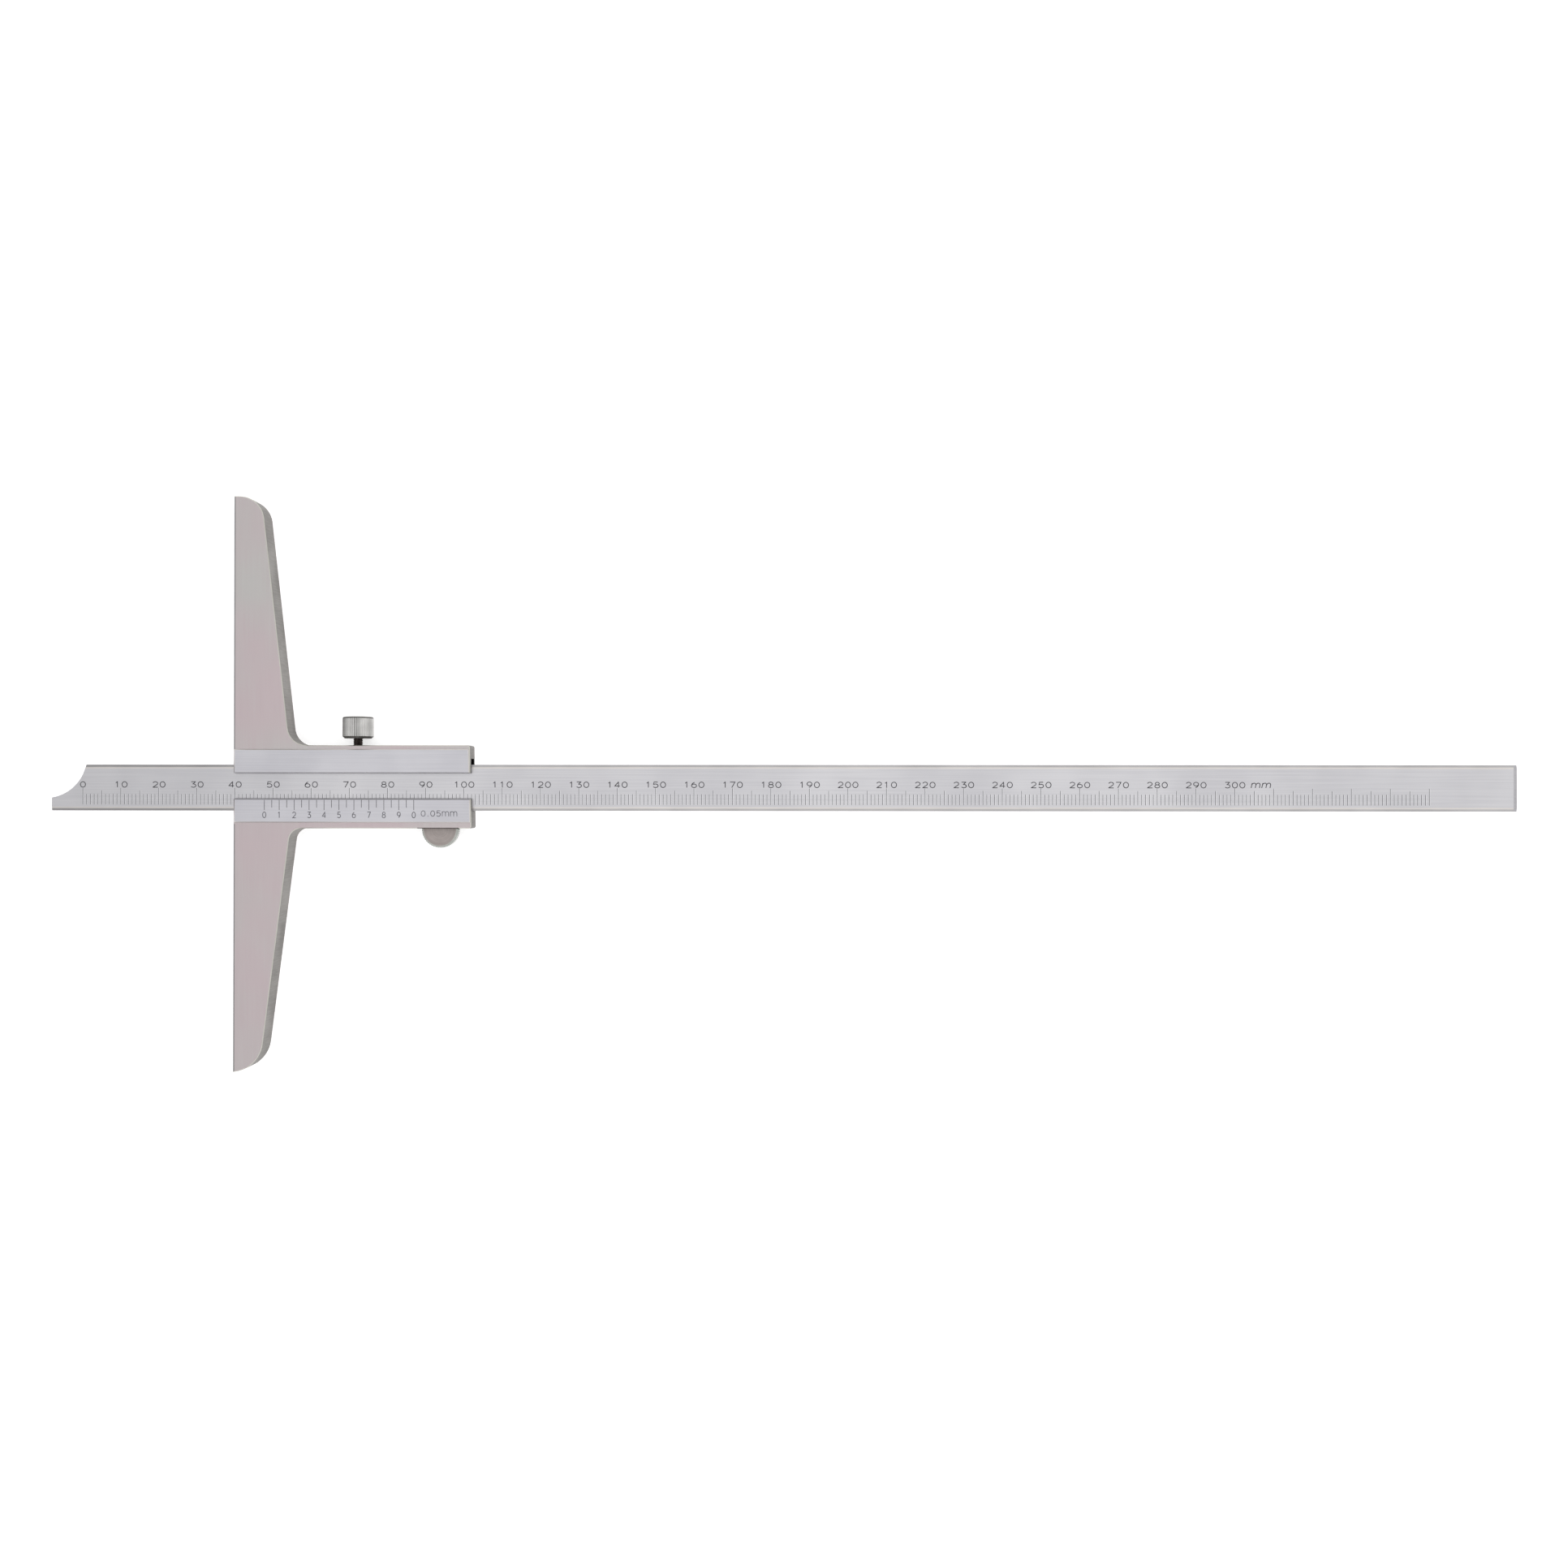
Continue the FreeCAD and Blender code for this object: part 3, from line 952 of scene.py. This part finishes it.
@dataclass
class Bridge:
    """The one-piece bridge and slider, with the vernier that is etched on its pad."""

    pad_rise: float = 0.4 * MM
    window_reach: float = 4.2 * MM
    pad_reach: float = 9.4 * MM
    scraped: float = 0.4 * MM
    slot: tuple[float, float] = (5.95 * MM, 7.7 * MM)
    slot_floor: float = 1.95 * MM
    slot_roof: float = 6.15 * MM
    stain: tuple[float, float] = (48.0 * MM, 58.8 * MM)
    stain_foot: float = 5.1 * MM
    edge_tilts: tuple[float, float] = (0.5, 0.85)
    sideways: float = 0.3
    zero_from_face: float = 8.2 * MM
    length: float = 39 * MM
    parts: int = 20
    line: float = 0.13 * MM
    line_top: float = -3.19 * MM
    line_feet: tuple[float, float] = (-5.82 * MM, -5.19 * MM)
    numeral_foot: float = -7.93 * MM
    numerals: Lettering = Lettering(0.85 * MM, 1.69 * MM, 1.2 * MM, 0.19 * MM)
    reading: Lettering = Lettering(1.05 * MM, 1.6 * MM, 1.5 * MM, 0.17 * MM)
    reading_place: tuple[float, float] = (53.8 * MM, -7.5 * MM)

    def build(self) -> None:
        """Dresses the bridge and adds the vernier."""
        _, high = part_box("base_slider")
        pad_foot = high.z - self.pad_rise / 2
        steep, flat = self.edge_tilts
        zones = (
            # Painted shade: a grey line down the left edge of each leg.
            Zone(
                LEFT_EDGE_SHADE,
                (
                    placed(Axis.X, self.scraped, Side.BELOW),
                    placed(Axis.Y, self.pad_reach, Side.ABOVE, mirrored=True),
                ),
            ),
            # Painted highlight: the chamfers are painted pale, except those that face left.
            Zone(
                CHAMFER_HIGHLIGHT,
                (
                    tilted(Axis.Z, steep, Side.ABOVE),
                    tilted(Axis.Z, flat, Side.BELOW),
                    tilted(Axis.X, -self.sideways, Side.ABOVE),
                ),
            ),
            # Painted shade: every face that turns sideways is painted darker.
            Zone(SHADED_MILLED_FLANK, (tilted(Axis.Z, steep, Side.BELOW, mirrored=True),)),
            Zone(SATIN_PAD, (placed(Axis.Z, pad_foot, Side.ABOVE),)),
            # Painted highlight: the pad's bevels are painted pale.
            Zone(
                BEVEL_HIGHLIGHT,
                (
                    placed(Axis.Z, pad_foot, Side.ABOVE),
                    tilted(Axis.Z, flat, Side.BELOW),
                ),
            ),
            Zone(
                FILED_WALL,
                (
                    tilted(Axis.Z, flat, Side.BELOW),
                    tilted(Axis.X, steep, Side.BELOW, mirrored=True),
                    placed(Axis.Y, self.window_reach, Side.BELOW, mirrored=True),
                    placed(Axis.Z, self.slot_roof, Side.ABOVE),
                ),
            ),
            # Painted shade: the inside of the gib slot is painted nearly black.
            Zone(
                SHADED_SLOT,
                (
                    placed(Axis.Y, self.slot[0], Side.ABOVE),
                    placed(Axis.Y, self.slot[1], Side.BELOW),
                    placed(Axis.Z, self.slot_floor, Side.ABOVE),
                    placed(Axis.Z, self.slot_roof, Side.BELOW),
                    tilted(Axis.X, steep, Side.BELOW, mirrored=True),
                ),
            ),
            # Painted shadow: the lip's downward face over the wheel is painted dark.
            Zone(
                LIP_SHADOW,
                (
                    tilted(Axis.Y, -steep, Side.BELOW),
                    placed(Axis.Y, -self.pad_reach, Side.BELOW),
                    placed(Axis.X, self.stain[0], Side.ABOVE),
                    placed(Axis.X, self.stain[1], Side.BELOW),
                    placed(Axis.Z, self.stain_foot, Side.ABOVE),
                    placed(Axis.Z, pad_foot, Side.BELOW),
                ),
            ),
            Zone(LAPPED_FACE, (tilted(Axis.X, -flat, Side.BELOW),)),
        )
        dress("base_slider", Metal("ground_stainless_steel", GROUND_FACE, zones))
        self.vernier(high.z)

    def vernier(self, face: float) -> None:
        """Adds the vernier's lines, its numerals and its reading.

        Args:
            face: The height of the pad's front.
        """
        lines = Inlay(face)
        figures = Inlay(face)
        for i in range(self.parts + 1):
            x = self.zero_from_face + i * self.length / self.parts
            number, between = divmod(i, 2)
            lines.strip([(x, self.line_feet[between]), (x, self.line_top)], self.line)
            if not between:
                figures.text(str(number)[-1], x, self.numeral_foot, self.numerals)
        figures.text("0.05mm", *self.reading_place, self.reading)
        place_piece(lines.build("vernier_graduations"), ETCHED, "base")
        place_piece(figures.build("vernier_numerals"), SHALLOW, "base")


@dataclass
class Gib:
    """The bronze strip that takes up the beam's play, and the two screws that set it."""

    screws: tuple[str, str] = ("gib_screw_front", "gib_screw_rear")

    def build(self) -> None:
        """Dresses the strip and its screws."""
        dress("gib_strip", BRONZE)
        for screw in self.screws:
            dress(screw, BLACK_STEEL)


@dataclass
class ClampScrew:
    """The knurled screw that locks the beam, with its pad."""

    pitch: float = 0.45 * MM
    depth: float = 0.2 * MM
    sectors: int = 32
    rows_a_turn: int = 6
    lead_in: float = 0.3 * MM
    chamfer: float = 0.55 * MM
    crown: float = 0.5 * MM
    end_tilt: float = 0.9

    def build(self) -> None:
        """Dresses the screw and cuts a thread on its stud."""
        low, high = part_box("clamp_head")
        below = placed(Axis.Y, low.y + self.chamfer, Side.BELOW)
        above = placed(Axis.Y, high.y - self.crown, Side.ABOVE)
        zones = (
            # Painted shade: the chamfer at each end of the knurl is painted dark.
            Zone(SHADED_CHAMFER, (below, tilted(Axis.Y, -self.end_tilt, Side.ABOVE))),
            Zone(SHADED_CHAMFER, (above, tilted(Axis.Y, self.end_tilt, Side.BELOW))),
        )
        dress("clamp_head", Metal("turned_stainless_steel", TURNED_BAR, zones))
        dress("clamp_pad", BRONZE)
        stud = self.threaded_stud()
        place_piece(stud, BLACK_STEEL, "clamp_screw")
        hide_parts("clamp_stud")

    def threaded_stud(self) -> bpy.types.Object:
        """Makes the stud with a helical thread.

        Returns:
            A closed mesh, as long and as thick as the plain stud.
        """
        low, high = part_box("clamp_stud")
        crest = (high.x - low.x) / 2
        centre = (low + high) / 2
        rows = round((high.y - low.y) / self.pitch * self.rows_a_turn)
        vertices = []
        for row in range(rows + 1):
            y = low.y + (high.y - low.y) * row / rows
            fade = min(1.0, (y - low.y) / self.lead_in, (high.y - y) / self.lead_in)
            for sector in range(self.sectors):
                turn = sector / self.sectors
                phase = (y / self.pitch - turn) % 1.0
                rise = 1 - abs(2 * phase - 1)
                radius = crest - self.depth * (1 - rise * fade)
                angle = 2 * math.pi * turn
                vertices.append(
                    (centre.x + radius * math.cos(angle), y, centre.z + radius * math.sin(angle))
                )
        faces: list[tuple[int, ...]] = []
        for row in range(rows):
            for sector in range(self.sectors):
                a = row * self.sectors + sector
                b = row * self.sectors + (sector + 1) % self.sectors
                faces.append((a, a + self.sectors, b + self.sectors, b))
        last = rows * self.sectors
        faces.append(tuple(range(self.sectors)))
        faces.append(tuple(range(last + self.sectors - 1, last - 1, -1)))
        return make_object("clamp_stud_thread", vertices, faces)


@dataclass
class ThumbWheel:
    """The wheel that drives the beam, with its pin, its leaf spring and the spring's screws."""

    rim: float = 0.55 * MM
    rim_blend: float = 0.15 * MM
    screws: tuple[str, str] = ("spring_screw_inner", "spring_screw_outer")

    def build(self) -> None:
        """Dresses the wheel and what carries it."""
        low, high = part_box("thumb_roller")
        inside = (high.x - low.x) / 2 - self.rim
        rim = Limit(
            Source.PLACE, Axis.Z, inside, Side.ABOVE, blend=self.rim_blend, spindle=WHEEL_SPINDLE
        )
        # Painted highlight: the wheel's rim is painted pale.
        zones = (Zone(RIM_HIGHLIGHT, (rim,)),)
        dress("thumb_roller", Metal("knurled_hardened_steel", WORN_DISC, zones))
        dress("roller_axle", SPRING_STEEL)
        dress("roller_spring", SPRING_STEEL)
        for screw in self.screws:
            dress(screw, BLACK_STEEL)


@dataclass
class Studio:
    """A pale floor and backdrop, soft light from above and the right, and the camera."""

    floor_half: float = 12.0
    backdrop_height: float = 12.0
    backdrop_share: float = 0.98
    floor_colour: str = "F4F4F4"
    floor_roughness: float = 0.8
    floor_glow: float = 0.66
    world_colour: str = "FFFFFF"
    horizon_strengths: tuple[float, float] = (0.35, 1.25)
    world_strength: float = 0.35
    world_rise: float = 0.6
    softbox_place: tuple[float, float, float] = (0.35, 0.0, 1.5)
    softbox_size: float = 2.4
    softbox_power: float = 14.0
    camera_place: tuple[float, float, float] = (151.4 * MM, -1.64 * MM, 466.75 * MM)
    camera_yaw: float = -1.009
    camera_pitch: float = -0.333
    camera_roll: float = -0.043
    lens: float = 40.73
    sensor: float = 36.0
    clip: tuple[float, float] = (10 * MM, 100.0)

    def build(self) -> None:
        """Makes the floor, the lights and the camera."""
        scene = bpy.context.scene
        scene.view_settings.view_transform = "Standard"
        self.floor()
        self.backdrop()
        self.light(scene)
        self.camera(scene)
        LOG.info("the studio is lit")

    def floor(self) -> None:
        """Lays a plain pale floor under the gauge."""
        half, level = self.floor_half, CAD_BOX[0][2]
        corners = [(-half, -half, level), (half, -half, level), (half, half, level)]
        corners.append((-half, half, level))
        floor = make_object("studio_floor", corners, [(0, 1, 2, 3)])
        paint = bpy.data.materials.new("matt_white_paint")
        paint.use_nodes = True
        tree = paint.node_tree
        tree.nodes.clear()
        white = linear(self.floor_colour)
        shader = add_node(
            tree,
            "BsdfPrincipled",
            {
                "Base Color": white,
                "Roughness": self.floor_roughness,
                "Emission Color": white,
                "Emission Strength": self.floor_glow,
            },
        )
        add_node(tree, "OutputMaterial", {}, {"Surface": shader.outputs[0]})
        floor.data.materials.append(paint)

    def backdrop(self) -> None:
        """Hangs plain white paper all round, which only the camera sees."""
        half = self.floor_half * self.backdrop_share
        level = CAD_BOX[0][2]
        corners = []
        for height in (level, level + self.backdrop_height):
            corners.extend(((-half, -half, height), (half, -half, height)))
            corners.extend(((half, half, height), (-half, half, height)))
        count = len(corners) // 2
        faces = [(i, (i + 1) % count, (i + 1) % count + count, i + count) for i in range(count)]
        faces.append(tuple(range(count, 2 * count)))
        backdrop = make_object("studio_backdrop", corners, faces)
        paper = bpy.data.materials.new("white_backdrop_paper")
        paper.use_nodes = True
        tree = paper.node_tree
        tree.nodes.clear()
        glow = add_node(tree, "Emission", {"Color": linear(self.world_colour)})
        add_node(tree, "OutputMaterial", {}, {"Surface": glow.outputs[0]})
        backdrop.data.materials.append(paper)
        backdrop.visible_diffuse = False
        backdrop.visible_glossy = False
        backdrop.visible_shadow = False

    def light(self, scene: bpy.types.Scene) -> None:
        """Lights the scene.

        Args:
            scene: The scene that gets the lights.
        """
        world = bpy.data.worlds.new("studio_world")
        world.use_nodes = True
        tree = world.node_tree
        way = add_node(tree, "TexCoord").outputs["Generated"]
        parts = add_node(tree, "SeparateXYZ", {}, {0: way})
        left, right = self.horizon_strengths
        horizon = add_node(
            tree,
            "MapRange",
            {"From Min": -1.0, "To Min": left, "To Max": right},
            {"Value": parts.outputs[Axis.X.value]},
        ).outputs[0]
        strength = add_node(
            tree,
            "MapRange",
            {"From Max": self.world_rise, "To Max": self.world_strength},
            {"Value": parts.outputs[Axis.Z.value], "To Min": horizon},
        ).outputs[0]
        back = tree.nodes["Background"]
        back.inputs["Color"].default_value = linear(self.world_colour)
        tree.links.new(strength, back.inputs["Strength"])
        scene.world = world
        lamp = bpy.data.lights.new("overhead_softbox", "AREA")
        lamp.size = self.softbox_size
        lamp.energy = self.softbox_power
        softbox = bpy.data.objects.new("overhead_softbox", lamp)
        softbox.location = self.softbox_place
        scene.collection.objects.link(softbox)

    def camera(self, scene: bpy.types.Scene) -> None:
        """Makes the camera.

        Args:
            scene: The scene that looks through it.
        """
        data = bpy.data.cameras.new("view_camera")
        data.lens = self.lens
        data.sensor_width = self.sensor
        data.clip_start, data.clip_end = self.clip
        camera = bpy.data.objects.new("view_camera", data)
        yaw = Matrix.Rotation(math.radians(self.camera_yaw), 3, "Y")
        pitch = Matrix.Rotation(math.radians(self.camera_pitch), 3, "X")
        roll = Matrix.Rotation(math.radians(self.camera_roll), 3, "Z")
        turn = (roll @ pitch @ yaw).transposed().to_4x4()
        camera.matrix_world = Matrix.Translation(self.camera_place) @ turn
        scene.collection.objects.link(camera)
        scene.camera = camera


def main() -> None:
    """Builds the gauge's looks, one sub-assembly after the other, and the studio."""
    logging.basicConfig(level=logging.INFO, format="%(message)s")
    Studio().build()
    for part in (Beam(), Bridge(), Gib(), ClampScrew(), ThumbWheel()):
        part.build()
        LOG.info("%s is done", type(part).__name__)


if __name__ == "__main__":
    main()
